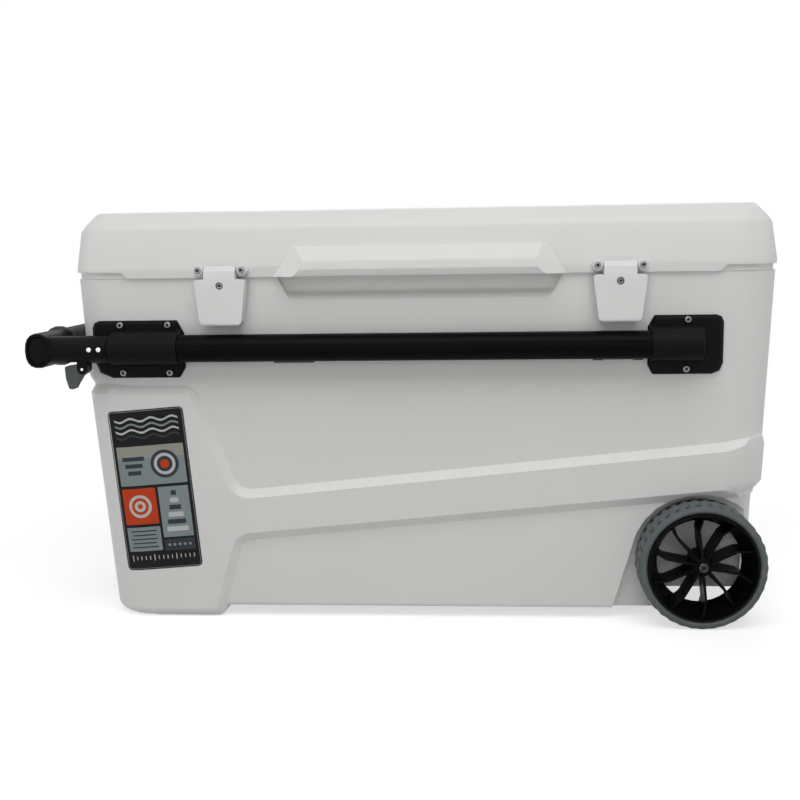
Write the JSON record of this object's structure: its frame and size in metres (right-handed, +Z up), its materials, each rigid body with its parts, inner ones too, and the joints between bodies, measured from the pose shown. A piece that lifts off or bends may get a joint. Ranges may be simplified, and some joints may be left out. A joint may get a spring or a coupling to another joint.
{
  "type": "wheeled cooler",
  "caption": "Hard-sided insulated cooler with a hinged lid, snap latches, a pull-out tow handle at one end and wheels at the other",
  "frame": {"origin": "on the floor under the middle of the overall box, latches closed and tow handle pushed in", "axes": "+X from the tow handle to the wheels, +Y from the latches to the hinges, +Z up"},
  "size_m": [0.9682, 0.4914, 0.543],
  "materials": {
    "white_plastic": "white blow-moulded polyethylene, fine matt grain",
    "liner_plastic": "smooth white polyethylene liner",
    "foam": "rigid polyurethane foam, sealed between shell and liner",
    "black_plastic": "black glass-filled plastic, low sheen",
    "grey_plastic": "dark grey plastic",
    "grip_plastic": "dark grey soft-touch plastic",
    "black_aluminium": "black anodised tube, satin",
    "bare_aluminium": "plain drawn aluminium",
    "tyre_rubber": "soft grey rubber tread",
    "steel": "zinc-plated or stainless steel"
  },
  "bodies": {
    "tub": {"outer_shell": "white_plastic", "inner_liner": "liner_plastic", "body_foam": "foam", "drain_fitting": "black_plastic", "hinge_tub_leaf_left": "white_plastic", "hinge_tub_leaf_middle": "white_plastic", "hinge_tub_leaf_right": "white_plastic", "hinge_pin_left": "steel", "hinge_pin_middle": "steel", "hinge_pin_right": "steel", "latch_post_left": "steel", "latch_post_right": "steel", "sleeve_bracket_front": "black_plastic", "sleeve_bracket_back": "black_plastic", "end_bracket_front": "black_plastic", "end_bracket_back": "black_plastic", "tube_saddle_left_front": "grey_plastic", "tube_saddle_left_back": "grey_plastic", "tube_saddle_right_front": "grey_plastic", "tube_saddle_right_back": "grey_plastic", "guide_tube_front": "black_aluminium", "guide_tube_back": "black_aluminium", "axle": "steel", "axle_screw_front": "steel", "axle_screw_back": "steel", "axle_washer_front": "steel", "axle_washer_back": "steel"},
    "lid": {"lid_shell": "white_plastic", "lid_liner": "liner_plastic", "lid_foam": "foam", "hinge_lid_leaf_left": "white_plastic", "hinge_lid_leaf_middle": "white_plastic", "hinge_lid_leaf_right": "white_plastic", "latch_bar_left": "white_plastic", "latch_bar_right": "white_plastic", "latch_pin_left": "steel", "latch_pin_right": "steel"},
    "left_latch": {"latch_flap_left": "white_plastic"},
    "right_latch": {"latch_flap_right": "white_plastic"},
    "tow_handle": {"inner_tube_front": "bare_aluminium", "inner_tube_back": "bare_aluminium", "handle_corner_front": "black_plastic", "handle_corner_back": "black_plastic", "grip_end_plug_front": "black_plastic", "grip_end_plug_back": "black_plastic", "lever_pin_front": "steel", "lever_pin_back": "steel", "grip_core": "bare_aluminium", "grip_sleeve": "grip_plastic"},
    "front_lever": {"release_lever_front": "grey_plastic"},
    "back_lever": {"release_lever_back": "grey_plastic"},
    "front_wheel": {"wheel_rim_front": "black_plastic", "tyre_front": "tyre_rubber"},
    "back_wheel": {"wheel_rim_back": "black_plastic", "tyre_back": "tyre_rubber"},
    "drain_plug": {"drain_cap": "black_plastic"}
  },
  "joints": [
    {"name": "lid_hinge", "type": "hinge", "parent": "tub", "child": "lid", "pos_m": [0.0271, 0.222, 0.455], "axis": [-1, 0, 0], "range_deg": [0, 95]},
    {"name": "left_latch_swing", "type": "hinge", "parent": "lid", "child": "left_latch", "pos_m": [-0.2249, -0.225, 0.4645], "axis": [-1, 0, 0], "range_deg": [0, 100]},
    {"name": "right_latch_swing", "type": "hinge", "parent": "lid", "child": "right_latch", "pos_m": [0.2791, -0.225, 0.4645], "axis": [-1, 0, 0], "range_deg": [0, 100]},
    {"name": "handle_slide", "type": "slide", "parent": "tub", "child": "tow_handle", "axis": [-1, 0, 0], "range_m": [0, 0.4]},
    {"name": "front_lever_swing", "type": "hinge", "parent": "tow_handle", "child": "front_lever", "pos_m": [-0.4079, -0.2255, 0.34], "axis": [0, 1, 0], "range_deg": [0, 12], "stiffness_Nm_per_rad": 0.05, "springref_deg": -5.73},
    {"name": "back_lever_swing", "type": "hinge", "parent": "tow_handle", "child": "back_lever", "pos_m": [-0.4079, 0.2255, 0.34], "axis": [0, 1, 0], "range_deg": [0, 12], "stiffness_Nm_per_rad": 0.05, "springref_deg": -5.73},
    {"name": "front_wheel_spin", "type": "hinge", "parent": "tub", "child": "front_wheel", "pos_m": [0.3861, -0.213, 0.081], "axis": [0, 1, 0], "continuous": true},
    {"name": "back_wheel_spin", "type": "hinge", "parent": "tub", "child": "back_wheel", "pos_m": [0.3861, 0.213, 0.081], "axis": [0, 1, 0], "continuous": true},
    {"name": "drain_cap_off", "type": "slide", "parent": "tub", "child": "drain_plug", "axis": [-1, 0, 0], "range_m": [0, 0.03]}
  ]
}
